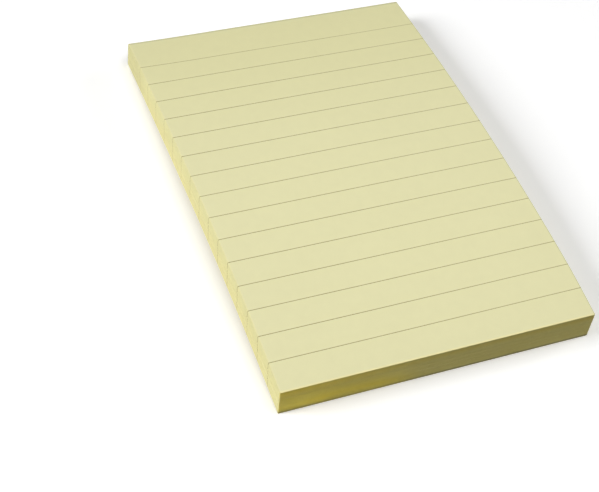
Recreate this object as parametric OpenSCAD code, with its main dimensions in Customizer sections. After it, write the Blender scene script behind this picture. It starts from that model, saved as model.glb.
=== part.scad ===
// Ruled note pad: a block of equal yellow leaves, square cut on all four sides,
// with no tape, cover or card. The block is a little bowed along its length, so
// it stands on the lower edges of its head and its foot, and it is thinner at
// the head, where the leaves are bound and pressed together.
// +X runs along the rules, +Y from the foot to the head, +Z up.
// The origin is the centre of the lowest side of the box around the block.

/* [Leaves] */
// Width of a leaf, along the rules
leaf_w = 101.6; // [60:0.1:220]
// Length of a leaf, from head to foot, measured along its own bend
leaf_l = 152.4; // [100:0.1:260]
// Height that one leaf takes in the loose part of the block, air included
leaf_t = 0.1; // [0.06:0.005:0.2]
// Number of leaves in the block
leaf_count = 100; // [20:1:150]
// How much thinner the block is at its bound head
head_thin = 1.4; // [0:0.1:3]

/* [Bow] */
// Bend radius of the top leaf between the middle and the head
bow_r_head = 860; // [600:10:3000]
// Bend radius of the top leaf between the middle and the foot
bow_r_foot = 660; // [600:10:3000]

/* [Hidden] */
canary = [0.93, 0.91, 0.68];
$fn = 1440;

// Height of the block in its loose part, square to the leaves
block_t = leaf_count * leaf_t;
half_l = leaf_l / 2;

// Every leaf has the same length and slides on the next one as the block bends,
// so the end faces stay square to the leaves at mid length. These are their
// places, seen from the crown of the top leaf.
head_y = bow_r_head * sin(deg(half_l / bow_r_head));
foot_y = -bow_r_foot * sin(deg(half_l / bow_r_foot));

// The underside of the head half is a flatter arc than the top leaf's. It starts
// level at mid length, and is nearer to the top leaf at the head.
head_drop = -arc_z(bow_r_head, head_y);
head_less = min(head_thin, 0.8 * head_drop, 0.3 * block_t);
under_r_head = arc_r(head_y, head_drop - head_less);
// The underside of the foot half keeps the block's full height
under_r_foot = bow_r_foot - block_t;

// Heights of the underside's two ends, below the crown
head_under_z = arc_z(under_r_head, head_y) - block_t;
foot_under_z = arc_z(under_r_foot, foot_y) - block_t;

// The two halves drop by different amounts. This turns the block until the
// lower edges of both its ends are level.
lean = atan2(head_under_z - foot_under_z, head_y - foot_y);
low_z = turned_z(foot_y, foot_under_z);
near_y = turned_y(foot_y, foot_under_z);
far_y = turned_y(head_y, arc_z(bow_r_head, head_y));

function deg(a) = a * 180 / PI;
// Height at y of an arc of radius r whose crown is at 0
function arc_z(r, y) = sqrt(r * r - y * y) - r;
// Radius of the arc that drops by d from its crown to y
function arc_r(y, d) = (y * y + d * d) / (2 * d);
// A point of the side profile after the turn by -lean
function turned_y(y, z) = y * cos(lean) + z * sin(lean);
function turned_z(y, z) = z * cos(lean) - y * sin(lean);

// Side profile of the block from mid length to one end, at y = end_y
module half_profile(r, under_r, end_y) {
    tall = 2 * block_t + 40;
    intersection() {
        difference() {
            translate([0, -r]) circle(r = r);
            translate([0, -block_t - under_r]) circle(r = under_r);
        }
        translate([min(0, end_y), 1 - tall]) square([abs(end_y), tall]);
    }
}

// Both halves, meeting at mid length with one common tangent
module block_profile() {
    half_profile(bow_r_head, under_r_head, head_y);
    half_profile(bow_r_foot, under_r_foot, foot_y);
}

// The whole stack of leaves as one solid
module sheets() {
    color(canary)
        translate([0, -(near_y + far_y) / 2, -low_z])
            rotate([-lean, 0, 0])
                translate([-leaf_w / 2, 0, 0])
                    rotate([90, 0, 90])
                        linear_extrude(height = leaf_w) block_profile();
}

sheets();
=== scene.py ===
"""Looks of the ruled note pad: one closed mesh of a hundred stacked leaves in place of the
plain block, its paper, cut edges and rules, the floor, the lights and the camera.
Lengths are in millimetres while the mesh is worked out, and in metres in the scene."""

import math

import bpy
import numpy as np
from mathutils import Matrix


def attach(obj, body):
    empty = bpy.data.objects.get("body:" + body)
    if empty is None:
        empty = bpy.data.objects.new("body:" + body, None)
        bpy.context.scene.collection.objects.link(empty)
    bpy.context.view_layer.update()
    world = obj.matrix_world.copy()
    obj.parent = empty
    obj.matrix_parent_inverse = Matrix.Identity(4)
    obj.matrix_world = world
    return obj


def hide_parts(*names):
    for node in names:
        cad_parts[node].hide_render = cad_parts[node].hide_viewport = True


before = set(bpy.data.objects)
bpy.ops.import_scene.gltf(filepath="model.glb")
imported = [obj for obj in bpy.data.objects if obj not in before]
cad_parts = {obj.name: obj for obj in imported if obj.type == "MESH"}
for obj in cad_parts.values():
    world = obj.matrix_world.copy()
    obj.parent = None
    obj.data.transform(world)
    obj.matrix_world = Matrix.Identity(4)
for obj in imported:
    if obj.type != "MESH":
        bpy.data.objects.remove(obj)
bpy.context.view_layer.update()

# ---------------------------------------------------------------------------
# The block's own sizes, as in the part's source
# ---------------------------------------------------------------------------
WIDTH, LENGTH, THICK, LEAVES = 101.6, 152.4, 10.0, 100
HEAD_THIN = 1.4
R_HEAD, R_FOOT = 860.0, 660.0
HALF_W, HALF_L = WIDTH / 2, LENGTH / 2


def arc_z(r, y):
    """Height at y of an arc of radius r whose crown is at 0."""
    return np.sqrt(r * r - y * y) - r


HEAD_Y = R_HEAD * math.sin(HALF_L / R_HEAD)
FOOT_Y = -R_FOOT * math.sin(HALF_L / R_FOOT)
DROP = float(-arc_z(R_HEAD, HEAD_Y)) - HEAD_THIN
UNDER_HEAD = (HEAD_Y**2 + DROP**2) / (2 * DROP)
UNDER_FOOT = R_FOOT - THICK
HEAD_Z = float(arc_z(UNDER_HEAD, HEAD_Y)) - THICK
FOOT_Z = float(arc_z(UNDER_FOOT, FOOT_Y)) - THICK
LEAN = math.atan2(HEAD_Z - FOOT_Z, HEAD_Y - FOOT_Y)
COS, SIN = math.cos(LEAN), math.sin(LEAN)
LOW = FOOT_Z * COS - FOOT_Y * SIN
MID = (FOOT_Y * COS + FOOT_Z * SIN + HEAD_Y * COS + float(arc_z(R_HEAD, HEAD_Y)) * SIN) / 2

# The rules: their places from the head edge, along the leaf
RULES, RULE_FIRST, RULE_PITCH, RULE_W = 15, 14.41, 9.138, 0.22
RULE_S = HALF_L - RULE_FIRST - RULE_PITCH * np.arange(RULES)

rng = np.random.default_rng(20260)


def place(x, s, u):
    """Points in the row frame, in metres: x across the leaf, s along it from mid length
    towards the head, and u the share of the block's height below the top leaf."""
    x, s, u = np.broadcast_arrays(
        np.asarray(x, float), np.asarray(s, float), np.asarray(u, float)
    )
    r = np.where(s >= 0, R_HEAD, R_FOOT)
    q = np.where(s >= 0, UNDER_HEAD, UNDER_FOOT)
    y = r * np.sin(s / r)
    top = arc_z(r, y)
    z = top + (arc_z(q, y) - THICK - top) * u
    # the head end's left corner stands up a little, and the top leaf isn't quite flat
    corner = np.clip((s / HALF_L - 0.75) / 0.25, 0, 1) ** 2
    corner = corner * np.clip((-x / HALF_W - 0.5) / 0.5, 0, 1) ** 2
    # and its left edge curls up round the first rule's end
    curl = np.exp(-(((s - 64.0) / 9.0) ** 2)) * np.clip((-x - 28.0) / 22.8, 0, 1) ** 1.6
    wave = 0.035 * np.sin(x / 15.0 + s / 31.0 + 0.7) + 0.025 * np.sin(
        s / 12.5 - x / 24.0 + 2.1
    )
    z = z + (1 - u) * (0.27 * corner + 0.46 * curl + wave * (1 - u) ** 3)
    return (
        np.stack([x, y * COS + z * SIN - MID, z * COS - y * SIN - LOW], -1) * 0.001
    )


# ---------------------------------------------------------------------------
# Rows along the leaf and columns across it
# ---------------------------------------------------------------------------
ROLL = [0.0, 0.14, 0.34, 0.62, 1.0]  # distances from a cut edge where it rolls over


def filled(stops, most):
    """The stops, with each gap between two of them cut into equal steps of at most most."""
    out = [stops[0]]
    for a, b in zip(stops[:-1], stops[1:]):
        n = max(1, math.ceil(abs(b - a) / most - 1e-9))
        out += [a + (b - a) * (i + 1) / n for i in range(n)]
    return np.array(out)


row_stops = [HALF_L - e for e in ROLL]
for c in RULE_S:
    row_stops += [c + RULE_W / 2, c - RULE_W / 2]
row_stops += [-HALF_L + e for e in reversed(ROLL)]
rows = filled(row_stops, 2.3)  # from the head to the foot
cols = filled([-HALF_W + e for e in ROLL] + [HALF_W - e for e in reversed(ROLL)], 5.6)
K, M = len(rows) - 1, len(cols) - 1
# the row just before each rule, in the order of RULE_S
rule_row = [int(np.argmin(np.abs(rows - (c + RULE_W / 2)))) for c in RULE_S]
is_rule = np.zeros(K, bool)
is_rule[rule_row] = True

# ---------------------------------------------------------------------------
# How each leaf lies: small steps, slow drifts and a few that stand proud
# ---------------------------------------------------------------------------


def drift(n, turns, size):
    """A slow wander over n leaves, as a sum of a few waves."""
    t = np.arange(n) / n
    out = np.zeros(n)
    for k in turns:
        out += rng.uniform(0.4, 1) * np.sin(2 * math.pi * (k * t + rng.random()))
    return size * out / len(turns)


def outline(points, proud):
    """Per leaf and per point along one side, how far the leaf reaches out past the cut."""
    n = len(points)
    t = (points - points.mean()) / np.ptp(points) * 2
    base = drift(LEAVES, (1.3, 2.9, 6.7, 13), 0.045) + rng.normal(0, 0.014, LEAVES)
    for i in rng.choice(np.arange(6, LEAVES - 3), proud, replace=False):
        base[i] += rng.uniform(0.05, 0.11) * rng.choice([1, -0.7])
    turn = drift(LEAVES, (2.1, 5.3), 0.03) + rng.normal(0, 0.009, LEAVES)
    bow = rng.normal(0, 0.010, LEAVES)
    wobble = np.zeros((LEAVES, n))
    for k in (2.3, 4.9, 9.7):
        a = rng.normal(0, 0.005, (LEAVES, 1))
        wobble += a * np.sin(k * t[None, :] * math.pi + rng.uniform(0, 6.3, (LEAVES, 1)))
    out = base[:, None] + turn[:, None] * t[None, :] + bow[:, None] * t[None, :] ** 2
    out = out + wobble
    # the blade pressed the first leaves in as it cut
    out -= 0.05 * np.exp(-np.arange(LEAVES) / 1.6)[:, None]
    return np.clip(out, -0.16, 0.16)


side_left, side_right = outline(rows, 7), outline(rows, 7)
end_head, end_foot = outline(cols, 5), 0.5 * outline(cols, 5)

# The printed stack leaned a little before it was cut, so the rules' ends lean on the sides
lean_s = -0.9 * np.arange(LEAVES) / LEAVES + drift(LEAVES, (1.7, 4.1), 0.05)
lean_s += 0.22 * np.sin(math.pi * np.clip(np.arange(LEAVES) / 45, 0, 1))
lean_s = lean_s - lean_s[0]
print_jitter = rng.normal(0, 0.020, (LEAVES, 2))  # left and right
ends_fixed = np.clip((HALF_L - np.abs(rows)) / 7.5, 0, 1)

LEAF_SHARE = 0.86  # of a leaf's pitch is paper, and the rest is the gap under it
GROOVE = 0.040  # how far the gap is open between two leaves


def off_square(x, s, u):
    """x where the cut isn't quite square: towards the foot the left side runs out, the upper leaves most, and the right side runs in at the foot's corner."""
    left = 0.36 * np.clip(-s / HALF_L, 0, 1) * (1 - u)
    right = -0.33 * np.clip((-s - 60) / 16, 0, 1)
    return x * (1 + np.where(x < 0, left, right) / HALF_W)


def ring(leaf, level):
    """One turn round the block at a leaf: level 0 is its upper edge, 1 its lower edge and 2 the gap below it. Gives x, s and u per point, from the head's left corner along the head, down the right side, back along the foot and up the left side."""
    u = (leaf + (0, LEAF_SHARE, (1 + LEAF_SHARE) / 2)[level]) / LEAVES
    if level == 2:
        nxt = min(leaf + 1, LEAVES - 1)
        mean = lambda a: (a[leaf] + a[nxt]) / 2 - GROOVE
        ol, orr, oh, of = mean(side_left), mean(side_right), mean(end_head), mean(end_foot)
    else:
        tilt = tilts[leaf, level]
        ol, orr = side_left[leaf] + tilt[0], side_right[leaf] + tilt[1]
        oh, of = end_head[leaf] + tilt[2], end_foot[leaf] + tilt[3]
    if leaf == 0 and level == 0:
        u = ROLLED / THICK
    s_l = rows + ends_fixed * (lean_s[leaf] + print_jitter[leaf, 0])
    s_r = rows + ends_fixed * (lean_s[leaf] + print_jitter[leaf, 1])
    # the cut corners are a touch dull
    dull = 0.05
    head_s = HALF_L + oh - dull * (np.arange(M + 1) % M == 0)
    foot_s = -HALF_L - of + dull * (np.arange(M + 1) % M == 0)
    x_h, x_f = cols.copy(), cols.copy()
    x_h[0], x_h[-1] = -HALF_W - ol[0] + dull, HALF_W + orr[0] - dull
    x_f[0], x_f[-1] = -HALF_W - ol[-1] + dull, HALF_W + orr[-1] - dull
    xs = [x_h, HALF_W + orr[1:], x_f[::-1][1:], (-HALF_W - ol)[::-1][1:-1]]
    ss = [head_s, s_r[1:], foot_s[::-1][1:], s_l[::-1][1:-1]]
    xs[1][-1], ss[1][-1] = x_f[-1], foot_s[-1]
    xs[2][-1], ss[2][-1] = x_f[0], foot_s[0]
    return np.concatenate(xs), np.concatenate(ss), u


ROLLED = 0.045  # how far the top leaf's cut edge is pressed down
tilts = rng.normal(0, 0.006, (LEAVES, 2, 4))
RING = 2 * (K + M)

verts, spots = [], []  # places, and (x, s, depth) for the materials
shares = []  # each ring's share of the height, for the map
for leaf in range(LEAVES):
    for level in range(3):
        if leaf == LEAVES - 1 and level == 2:
            continue
        x, s, u = ring(leaf, level)
        if leaf == LEAVES - 1 and level == 1:
            u = 1.0
        verts.append(place(off_square(x, s, u), s, u))
        spots.append(np.stack([x, s, np.full(len(x), u * THICK)], -1))
        shares.append(1.0 if u == 1.0 else (leaf + (0, 0.70, 0.85)[level]) / LEAVES)
ring_count = len(verts)
shares = np.array(shares)


def grid_inside(u, rolled):
    """The points of the top or bottom leaf inside its outline, row by row."""
    x, s = np.meshgrid(cols[1:-1], rows[1:-1])
    near = np.minimum(HALF_W - np.abs(x), HALF_L - np.abs(s))
    press = rolled * np.clip(1 - near / ROLL[-1], 0, 1) ** 2
    return x.ravel(), s.ravel(), (u + (press / THICK).ravel() * (1 if u < 0.5 else -1))


x, s, u = grid_inside(0.0, ROLLED)
top_start = sum(len(v) for v in verts)
verts.append(place(off_square(x, s, u), s, u))
spots.append(np.stack([x, s, np.zeros(len(x))], -1))
x, s, u = grid_inside(1.0, 0.0)
low_start = sum(len(v) for v in verts)
verts.append(place(off_square(x, s, u), s, u))
spots.append(np.stack([x, s, np.full(len(x), THICK)], -1))
verts, spots = np.concatenate(verts), np.concatenate(spots)


def rim(first):
    """Grid of point numbers of the top or bottom leaf, with its outline from the ring that starts at first."""
    grid = np.zeros((K + 1, M + 1), int)
    grid[0, :] = first + np.arange(M + 1)
    grid[1:, M] = first + M + 1 + np.arange(K)
    grid[K, :M] = first + M + K + 1 + np.arange(M)[::-1]
    grid[1:K, 0] = first + 2 * M + K + 1 + np.arange(K - 1)[::-1]
    return grid


top_grid, low_grid = rim(0), rim((ring_count - 1) * RING)
top_grid[1:K, 1:M] = top_start + np.arange((K - 1) * (M - 1)).reshape(K - 1, M - 1)
low_grid[1:K, 1:M] = low_start + np.arange((K - 1) * (M - 1)).reshape(K - 1, M - 1)

PAPER, EDGE, INK = 0, 1, 2
faces, slots, inks = [], [], []

rule_ink = np.interp(np.arange(RULES), [0, 1, 2, 4, 7, 9, 14], [0.77, 0.89, 0.98, 0.98, 0.93, 0.98, 0.94])
side_ink = np.interp(np.arange(RULES), [0, 4, 8, 11], [0.62, 0.74, 0.92, 0.97])
ink_of_row = np.zeros(K)
ink_of_row[rule_row] = rule_ink

quad = np.stack(
    [top_grid[:-1, :-1], top_grid[1:, :-1], top_grid[1:, 1:], top_grid[:-1, 1:]], -1
)
faces.append(quad.reshape(-1, 4))
slots.append(np.repeat(np.where(is_rule, INK, PAPER), M))
inks.append(np.repeat(ink_of_row, M))
quad = np.stack(
    [low_grid[:-1, :-1], low_grid[:-1, 1:], low_grid[1:, 1:], low_grid[1:, :-1]], -1
)
faces.append(quad.reshape(-1, 4))
slots.append(np.full(K * M, PAPER))
inks.append(np.zeros(K * M))

# which step of a ring crosses a rule's end, and which rule
step_rule = np.full(RING, -1)
for i, k in enumerate(rule_row):
    step_rule[M + k] = i  # right side
    step_rule[2 * M + K + (K - 1 - k)] = i  # left side
around = np.arange(RING)
after = (around + 1) % RING
for r in range(ring_count - 1):
    leaf, level = divmod(r, 3)
    a, b = r * RING, (r + 1) * RING
    faces.append(np.stack([a + around, a + after, b + after, b + around], -1))
    marked = (step_rule >= 0) & (level != 1)
    slots.append(np.where(marked, INK, EDGE))
    fade = 1 - 0.30 * leaf / LEAVES
    strength = fade * rng.uniform(0.84, 1.0, RING)
    inks.append(np.where(marked, strength * side_ink[step_rule.clip(0)], 0.0))
faces, slots, inks = np.concatenate(faces), np.concatenate(slots), np.concatenate(inks)


def flat_map():
    """Each face's corners on a flat map, in 1024ths of its side: the top leaf, the underside and the four cut sides, each in one piece, and every rule's strip widened in a place of its own."""
    wide = lambda x: (x + HALF_W) / WIDTH
    long = lambda s: (s + HALF_L) / LENGTH
    k, m = np.meshgrid(np.arange(K), np.arange(M), indexing="ij")
    k, m = k.ravel(), m.ravel()
    out = []
    # the top leaf
    kk, mm = np.stack([k, k + 1, k + 1, k], -1), np.stack([m, m, m + 1, m + 1], -1)
    u, v = 4 + 508 * wide(cols[mm]), 4 + 762 * long(rows[kk])
    rule = np.full(K, -1)
    rule[rule_row] = np.arange(RULES)
    i = rule[k][:, None]
    u = np.where(i >= 0, 520 + 492 * wide(cols[mm]), u)
    v = np.where(i >= 0, 778 + 9 * i + 5 * (kk == k[:, None]), v)
    out.append(np.stack([u, v], -1))
    # the underside
    kk, mm = np.stack([k, k, k + 1, k + 1], -1), np.stack([m, m + 1, m + 1, m], -1)
    out.append(
        np.stack([776 + 240 * wide(cols[mm]), 4 + 360 * long(rows[kk])], -1)
    )
    # the sides, step by step round the block: head, right, foot, left
    step = np.arange(RING)
    at_s = np.concatenate([np.zeros(M), rows, np.zeros(M - 1), rows[::-1]])[: RING + 1]
    at_x = np.concatenate([cols, np.zeros(K - 1), cols[::-1], np.zeros(K)])[: RING + 1]
    zone = np.searchsorted([M, M + K, 2 * M + K], step, side="right")
    for r in range(ring_count - 1):
        d = np.array([shares[r], shares[r], shares[r + 1], shares[r + 1]])[None, :]
        at = np.stack([step, step + 1, step + 1, step], -1)
        z = zone[:, None]
        u = np.choose(z, [4 + 508 * wide(at_x[at]), 648 + 118 * d, 4 + 508 * wide(at_x[at]), 520 + 118 * d])
        v = np.choose(z, [773 + 118 * d, 4 + 762 * long(at_s[at]), 899 + 118 * d, 4 + 762 * long(at_s[at])])
        if r % 3 != 1:
            i = step_rule[:, None]
            strip = 16.4 * (i + np.where(z == 3, 0, RULES))
            u = np.where(i >= 0, 520 + strip + 12 * (at - step[:, None]), u)
            v = np.where(i >= 0, 921 + 96 * d + 0 * u, v)
        out.append(np.stack([u, v], -1))
    return np.concatenate(out).reshape(-1, 2) / 1024


mesh = bpy.data.meshes.new("sheets_detailed")
mesh.from_pydata(verts.tolist(), [], faces.tolist())
mesh.polygons.foreach_set("material_index", slots.astype(np.int32))
mesh.polygons.foreach_set("use_smooth", np.ones(len(faces), bool))
flat = mesh.uv_layers.new(name="OFBake")
flat.data.foreach_set("uv", flat_map().astype(np.float32).ravel())
a = mesh.attributes.new("ink", "FLOAT", "FACE")
a.data.foreach_set("value", inks.astype(np.float32))
a = mesh.attributes.new("leafpos", "FLOAT_VECTOR", "POINT")
a.data.foreach_set("vector", spots.astype(np.float32).ravel())
mesh.update()
mesh.set_sharp_from_angle(angle=math.radians(24))
pad = bpy.data.objects.new("sheets_detailed", mesh)
bpy.context.scene.collection.objects.link(pad)

# ---------------------------------------------------------------------------
# Materials
# ---------------------------------------------------------------------------


class Nodes:
    """A material's nodes, made by short calls."""

    def __init__(self, name):
        self.mat = bpy.data.materials.new(name)
        self.mat.use_nodes = True
        self.tree = self.mat.node_tree
        self.tree.nodes.clear()
        self.out = self.tree.nodes.new("ShaderNodeOutputMaterial")
        self.bsdf = self.tree.nodes.new("ShaderNodeBsdfPrincipled")
        self.tree.links.new(self.bsdf.outputs[0], self.out.inputs["Surface"])

    def put(self, kind, inputs=(), **fields):
        n = self.tree.nodes.new(kind)
        for k, v in fields.items():
            setattr(n, k, v)
        for k, v in dict(inputs).items():
            self.wire(v, n.inputs[k])
        return n

    def wire(self, value, socket):
        if isinstance(value, bpy.types.NodeSocket):
            self.tree.links.new(value, socket)
        else:
            socket.default_value = value

    def spot(self, sx=1.0, sy=1.0, sz=1.0, shift=(0, 0, 0)):
        """The place on the leaves in millimetres (across, along, down), stretched."""
        at = self.put("ShaderNodeAttribute", attribute_name="leafpos")
        m = self.put("ShaderNodeMapping", {"Vector": at.outputs["Vector"]})
        m.inputs["Scale"].default_value = (sx, sy, sz)
        m.inputs["Location"].default_value = shift
        return m.outputs[0]

    def noise(self, vector, scale, detail=2.0, rough=0.5, warp=0.0):
        n = self.put(
            "ShaderNodeTexNoise",
            {
                "Vector": vector,
                "Scale": scale,
                "Detail": detail,
                "Roughness": rough,
                "Distortion": warp,
            },
        )
        return n.outputs[0]

    def sum(self, *terms):
        """The sum of (socket - 0.5) * weight over the terms, as a number round 0."""
        total = None
        for socket, weight in terms:
            m = self.put(
                "ShaderNodeMath",
                {0: socket, 1: weight, 2: -0.5 * weight},
                operation="MULTIPLY_ADD",
            ).outputs[0]
            if total is not None:
                m = self.put("ShaderNodeMath", {0: total, 1: m}, operation="ADD").outputs[0]
            total = m
        return total

    def shade(self, low, high, factor):
        """The colour between low and high, for a factor that runs from 0 to 1."""
        mix = self.put("ShaderNodeMix", data_type="RGBA")
        self.wire(factor, mix.inputs[0])
        self.wire(low, mix.inputs[6])
        self.wire(high, mix.inputs[7])
        return mix.outputs[2]

    def tint(self, color, by, factor):
        """The colour times by, as far as the factor goes from 0 to 1."""
        mix = self.put("ShaderNodeMix", data_type="RGBA", blend_type="MULTIPLY")
        self.wire(factor, mix.inputs[0])
        self.wire(color, mix.inputs[6])
        self.wire(by, mix.inputs[7])
        return mix.outputs[2]

    def plus(self, socket, value):
        return self.put("ShaderNodeMath", {0: socket, 1: value}, operation="ADD").outputs[0]

    def calc(self, operation, a, b=0.0):
        return self.put("ShaderNodeMath", {0: a, 1: b}, operation=operation).outputs[0]

    def place(self):
        """The three parts of the place on the leaves, in millimetres."""
        at = self.put("ShaderNodeAttribute", attribute_name="leafpos").outputs["Vector"]
        return self.put("ShaderNodeSeparateXYZ", {0: at}).outputs[:3]

    def ramp(self, value, start, end, low, high):
        """low up to start, high from end on, and smooth between them."""
        return self.put(
            "ShaderNodeMapRange",
            {0: value, 1: start, 2: end, 3: low, 4: high},
            interpolation_type="SMOOTHSTEP",
        ).outputs[0]

    def bump(self, height, distance, strength=1.0):
        b = self.put(
            "ShaderNodeBump", {"Height": height, "Distance": distance, "Strength": strength}
        )
        self.tree.links.new(b.outputs[0], self.bsdf.inputs["Normal"])


def rgba(r, g, b):
    return (r, g, b, 1.0)


def scaled(c, k):
    return rgba(*(min(1.0, v * k) for v in c[:3]))


FACE = rgba(0.770, 0.740, 0.434)  # a leaf's face
CUT = rgba(0.807, 0.780, 0.464)  # a leaf's cut edge
RIM_HIGHLIGHT = rgba(0.802, 0.757, 0.412)  # painted highlight on the left rim of a leaf's face
FOOT_RIM_HIGHLIGHT = rgba(0.880, 0.812, 0.430)  # painted highlight on the foot's rim, where it is paler
RULE = rgba(0.318, 0.263, 0.078)  # the printed rules


def leaf_face(m):
    """Uncoated writing paper: a faint cloudy formation and a fine tooth. Gives its colour and its height."""
    tooth = m.noise(m.spot(1, 1, 1), 2.4, 4.0, 0.62, 0.2)
    fibre = m.noise(m.spot(0.9, 2.6, 1, (3, 8, 0)), 1.6, 3.0, 0.7, 0.9)
    cloud = m.noise(m.spot(1, 1, 1, (20, 4, 0)), 0.28, 3.0, 0.55, 0.3)
    broad = m.noise(m.spot(1, 1, 1, (7, 31, 0)), 0.035, 1.0, 0.5)
    t = m.sum((tooth, 0.50), (fibre, 0.40), (cloud, 0.75), (broad, 0.35))
    t = m.plus(t, 0.5)
    color = m.shade(scaled(FACE, 0.970), scaled(FACE, 1.030), t)
    # painted shade: the paper is painted darker towards the head, where the light falls off
    x, s, _ = m.place()
    color = m.tint(color, rgba(0.964, 0.962, 0.912), m.ramp(s, 5.0, 76.0, 0.0, 1.0))
    # painted highlight: the rims at the left side and the foot are painted lighter and yellower,
    # for half a millimetre; painted shade: the right rim is painted darker, and so is the
    # rim at the head, for a millimetre
    color = m.shade(color, RIM_HIGHLIGHT, m.ramp(m.plus(x, HALF_W), 0.12, 0.50, 0.78, 0.0))
    color = m.shade(color, FOOT_RIM_HIGHLIGHT, m.ramp(m.plus(s, HALF_L), 0.15, 0.75, 0.95, 0.0))
    # painted shade along the right rim and the head's rim
    near = m.calc("SUBTRACT", HALF_W, x)
    color = m.shade(color, scaled(FACE, 0.55), m.ramp(near, 0.08, 0.46, 0.50, 0.0))
    near = m.calc("SUBTRACT", HALF_L, s)
    color = m.shade(color, scaled(FACE, 0.55), m.ramp(near, 0.20, 1.25, 0.52, 0.0))
    height = m.sum((tooth, 0.6), (fibre, 0.5))
    return color, height, tooth


def leaf_edge(m):
    """The cut edges: a streak to each leaf, and a deeper yellow than on the face."""
    streak = m.noise(m.spot(0.035, 0.035, 9.5, (2, 5, 0)), 1.0, 2.0, 0.75)
    bands = m.noise(m.spot(0.02, 0.02, 1.1, (9, 1, 3)), 1.0, 2.0, 0.5)
    grain = m.noise(m.spot(1, 1, 3.2, (1, 2, 3)), 2.8, 3.0, 0.65)
    cloud = m.noise(m.spot(1, 1, 1, (5, 5, 5)), 0.16, 2.0, 0.5)
    mottle = m.noise(m.spot(1, 1, 1, (8, 2, 6)), 0.95, 2.0, 0.6)
    t = m.sum((streak, 0.46), (bands, 0.13), (grain, 0.42), (cloud, 0.18), (mottle, 0.48))
    t = m.plus(t, 0.70)
    # painted shade: the edges are painted darker towards the head, in the upper part of the block
    # and on the foot's face, and lighter towards the bottom leaves, a painted glow of light from below
    x, s, depth = m.place()
    foot = m.ramp(s, -76.0, -75.4, 1.0, 0.0)
    left = m.ramp(x, -50.6, -50.0, 1.0, 0.0)
    t = m.calc("SUBTRACT", t, m.ramp(s, 50.0, 68.0, 0.0, 0.54))
    deeper = m.ramp(depth, 0.5, 9.5, -0.18, 0.11)
    t = m.calc("ADD", t, m.calc("MULTIPLY", deeper, m.ramp(s, 35.0, 65.0, 1.0, 0.3)))
    t = m.calc("SUBTRACT", t, m.calc("MULTIPLY", foot, 0.17))
    color = m.shade(scaled(CUT, 0.85), scaled(CUT, 1.06), t)
    # painted reflected light: a deeper yellow low on the left side, and golden on the left part of the foot's face, as
    # if warm light were thrown up on them from below
    low = m.calc("MULTIPLY", left, m.ramp(depth, 1.0, 9.0, 0.0, 1.0))
    low = m.calc("MULTIPLY", low, m.ramp(s, 45.0, 68.0, 1.0, 0.1))
    low = m.calc("MULTIPLY", low, m.ramp(s, -72.0, -55.0, 0.2, 1.0))
    color = m.tint(color, rgba(1.0, 0.982, 0.950), low)
    starts = m.plus(m.calc("MULTIPLY", depth, 3.7), -49.0)
    painted_bounce_gold = m.calc("MULTIPLY", foot, m.ramp(x, starts, -3.0, 1.0, 0.0))
    color = m.tint(color, rgba(1.0, 0.972, 0.800), painted_bounce_gold)
    painted_bounce_core = m.calc("MULTIPLY", m.ramp(depth, 3.5, 7.0, 0.0, 1.0), m.ramp(x, -47.0, -36.0, 0.0, 1.0))
    painted_bounce_core = m.calc("MULTIPLY", painted_bounce_core, m.ramp(depth, 7.3, 8.9, 1.0, 0.5))
    color = m.tint(color, rgba(1.05, 1.025, 0.79), m.calc("MULTIPLY", painted_bounce_gold, painted_bounce_core))
    # painted light: the foot's upper leaves are painted lighter and yellower
    first = m.calc("MULTIPLY", foot, m.ramp(depth, 1.2, 3.4, 1.0, 0.0))
    color = m.tint(color, rgba(1.05, 1.015, 0.850), first)
    # and the painted golden light is a little weaker in the middle leaves of the foot's left part
    middle = m.calc("MULTIPLY", m.ramp(depth, 3.2, 4.4, 0.0, 1.0), m.ramp(depth, 6.0, 7.6, 1.0, 0.0))
    middle = m.calc("MULTIPLY", middle, m.ramp(x, -43.0, -34.0, 1.0, 0.0))
    color = m.tint(color, rgba(0.955, 0.965, 1.0), m.calc("MULTIPLY", foot, middle))
    # painted shade on the foot's face: the first few leaves' edges are painted darker, and the bottom few darker still,
    # a painted contact shadow along the bottom
    painted_contact_shadow = m.calc("MULTIPLY", m.ramp(depth, 9.00, 9.70, 0.0, 1.0), m.ramp(x, -25.0, 8.0, 0.45, 0.90))
    top = m.calc("MULTIPLY", m.ramp(depth, 0.25, 1.60, 0.19, 0.0), m.ramp(x, -38.0, -8.0, 0.4, 1.0))
    ends = m.calc("ADD", top, painted_contact_shadow)
    color = m.shade(color, scaled(CUT, 0.45), m.calc("MULTIPLY", foot, ends))
    height = m.sum((grain, 0.8), (streak, 0.5))
    return color, height, grain


def finish(m, color, height, rough_from, rough, depth):
    b = m.bsdf.inputs
    m.wire(color, b["Base Color"])
    m.wire(m.plus(m.sum((rough_from, 0.16)), rough), b["Roughness"])
    b["Specular IOR Level"].default_value = 0.30
    b["IOR"].default_value = 1.5
    b["Sheen Weight"].default_value = 0.04
    b["Sheen Roughness"].default_value = 0.6
    m.bump(height, depth)


paper = Nodes("paper_leaf")
color, height, tooth = leaf_face(paper)
finish(paper, color, height, tooth, 0.88, 0.000018)

edge = Nodes("paper_cut_edge")
color, height, grain = leaf_edge(edge)
finish(edge, color, height, grain, 0.92, 0.000015)

ink = Nodes("rule_ink")
color, height, tooth = leaf_face(ink)
edge_color, _, _ = leaf_edge(ink)
density = ink.put("ShaderNodeAttribute", attribute_name="ink").outputs["Fac"]
# less ink lies where the paper's tooth is low
patchy = ink.put(
    "ShaderNodeMath",
    {0: density, 1: ink.plus(ink.sum((tooth, 0.7)), 0.94)},
    operation="MULTIPLY",
).outputs[0]
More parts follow.
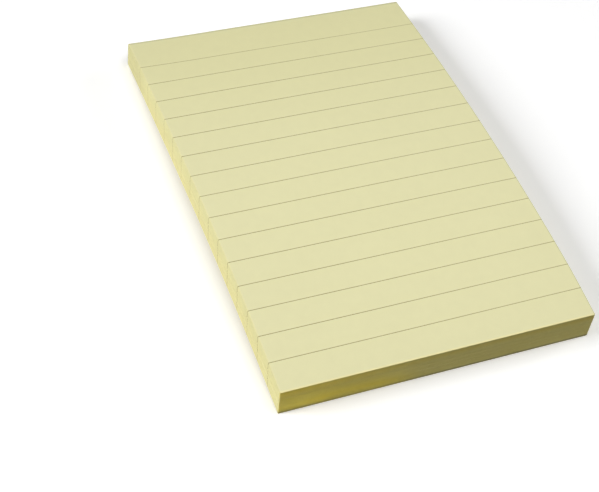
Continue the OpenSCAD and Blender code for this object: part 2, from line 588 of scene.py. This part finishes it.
# and the rules are a little fainter towards the right
patchy = ink.calc("MULTIPLY", patchy, ink.ramp(ink.place()[0], -25.0, 40.0, 1.04, 0.91))
on_side = ink.calc("GREATER_THAN", ink.place()[2], 0.03)
ground = ink.shade(color, edge_color, on_side)
finish(ink, ink.shade(ground, RULE, patchy), height, tooth, 0.84, 0.000014)

for m in (paper, edge, ink):
    mesh.materials.append(m.mat)

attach(pad, "root")
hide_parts("sheets")

# ---------------------------------------------------------------------------
# Floor, lights and camera
# ---------------------------------------------------------------------------
floor_mesh = bpy.data.meshes.new("floor")
f = 3.0
floor_mesh.from_pydata(
    [(-f, -f, -5e-5), (f, -f, -5e-5), (f, f, -5e-5), (-f, f, -5e-5)], [], [(0, 1, 2, 3)]
)
floor = bpy.data.objects.new("floor", floor_mesh)
bpy.context.scene.collection.objects.link(floor)
fl = Nodes("floor_white")
fl_noise = fl.put("ShaderNodeTexCoord").outputs["Object"]
fl_tone = fl.noise(fl_noise, 9.0, 2.0, 0.5)
fl.wire(fl.shade(rgba(0.955, 0.955, 0.955), rgba(0.965, 0.965, 0.965), fl_tone), fl.bsdf.inputs["Base Color"])
fl.bsdf.inputs["Roughness"].default_value = 0.9
fl.bsdf.inputs["Specular IOR Level"].default_value = 0.1
# a glow of its own keeps the shadow pale, and the floor as bright far off as near by
fl.bsdf.inputs["Emission Color"].default_value = rgba(1.0, 1.0, 1.0)
away = fl.put("ShaderNodeVectorMath", {0: fl_noise}, operation="LENGTH").outputs["Value"]
fl.wire(fl.ramp(away, 0.16, 0.65, 0.16, 1.0), fl.bsdf.inputs["Emission Strength"])
floor_mesh.materials.append(fl.mat)
floor.visible_diffuse = False  # it takes shadows and sends no light back up,
floor.visible_shadow = False  # and lets the glow from below through


def soft_box(name, at, aim, size, power, tint=(1.0, 1.0, 1.0)):
    """A square area light of that size at at, facing aim."""
    light = bpy.data.lights.new(name, "AREA")
    light.shape, light.size, light.energy, light.color = "SQUARE", size, power, tint
    ob = bpy.data.objects.new(name, light)
    bpy.context.scene.collection.objects.link(ob)
    back = np.array(at, float) - np.array(aim, float)
    back /= np.linalg.norm(back)
    side = np.cross([0.0, 1.0, 0.0] if abs(back[1]) < 0.9 else [1.0, 0.0, 0.0], back)
    side /= np.linalg.norm(side)
    up = np.cross(back, side)
    m = Matrix.Identity(4)
    for i in range(3):
        m[i][0], m[i][1], m[i][2], m[i][3] = side[i], up[i], back[i], at[i]
    ob.matrix_world = m
    ob.visible_camera = False
    return ob


HERE = (0.0, 0.0, 0.0)
soft_box("key_left", (-1.65, 0.25, 0.95), HERE, 0.9, 35.0)
soft_box("fill_right", (1.60, 0.05, 0.60), HERE, 0.8, 11.3)
soft_box("fill_back", (0.20, 1.70, 0.50), HERE, 0.8, 0.9)
soft_box("top_near_foot", (0.02, -0.14, 0.50), HERE, 0.3, 1.16)
# two small warm cards, flat on the floor in front of the left half of the foot
for name, x, width, power in (
    ("warm_card_long", -0.038, 0.052, 0.00052),
    ("warm_card_corner", -0.0515, 0.029, 0.00047),
):
    at = (x, -0.0838, 0.0004)
    card = soft_box(name, at, (x, at[1], 1.0), width, power, (1, 0.82, 0.0))
    card.data.shape, card.data.size_y = "RECTANGLE", 0.0130

# A studio dark above, and a warm glow from below the pad's level
world = bpy.data.worlds.new("studio")
bpy.context.scene.world = world
world.use_nodes = True
wt = world.node_tree
glow = wt.nodes["Background"]
way = wt.nodes.new("ShaderNodeSeparateXYZ")
wt.links.new(wt.nodes.new("ShaderNodeTexCoord").outputs["Generated"], way.inputs[0])
ramp = wt.nodes.new("ShaderNodeValToRGB")
ramp.color_ramp.elements[0].position = 0.49
ramp.color_ramp.elements[0].color = rgba(0.400, 0.334, 0.055)
ramp.color_ramp.elements[1].position = 0.51
ramp.color_ramp.elements[1].color = rgba(0.012, 0.012, 0.012)
half = wt.nodes.new("ShaderNodeMath")
half.operation = "MULTIPLY_ADD"
wt.links.new(way.outputs[2], half.inputs[0])
half.inputs[1].default_value, half.inputs[2].default_value = 0.5, 0.5
wt.links.new(half.outputs[0], ramp.inputs[0])
wt.links.new(ramp.outputs[0], glow.inputs["Color"])
glow.inputs["Strength"].default_value = 1.0
# the backdrop behind the floor is seen as pale, and lights nothing
pale = wt.nodes.new("ShaderNodeBackground")
pale.inputs["Color"].default_value = rgba(1.0, 1.0, 1.0)
both = wt.nodes.new("ShaderNodeMixShader")
wt.links.new(wt.nodes.new("ShaderNodeLightPath").outputs["Is Camera Ray"], both.inputs[0])
wt.links.new(glow.outputs[0], both.inputs[1])
wt.links.new(pale.outputs[0], both.inputs[2])
wt.links.new(both.outputs[0], wt.nodes["World Output"].inputs["Surface"])

cam = bpy.data.cameras.new("camera")
cam.sensor_fit, cam.sensor_width, cam.lens = "HORIZONTAL", 36.0, 82.9720
cam.clip_start, cam.clip_end = 0.01, 20.0
camera = bpy.data.objects.new("camera", cam)
bpy.context.scene.collection.objects.link(camera)
camera.matrix_world = Matrix(
    (
        (0.92919750, 0.20001808, -0.31078090, -0.15727852),
        (-0.35290979, 0.72991835, -0.58538353, -0.27272324),
        (0.10975739, 0.65361454, 0.74882665, 0.32487498),
        (0.0, 0.0, 0.0, 1.0),
    )
)
bpy.context.scene.camera = camera

view = bpy.context.scene.view_settings
view.view_transform = "Standard"
view.look = "None"
view.exposure = 0.0
view.gamma = 1.0
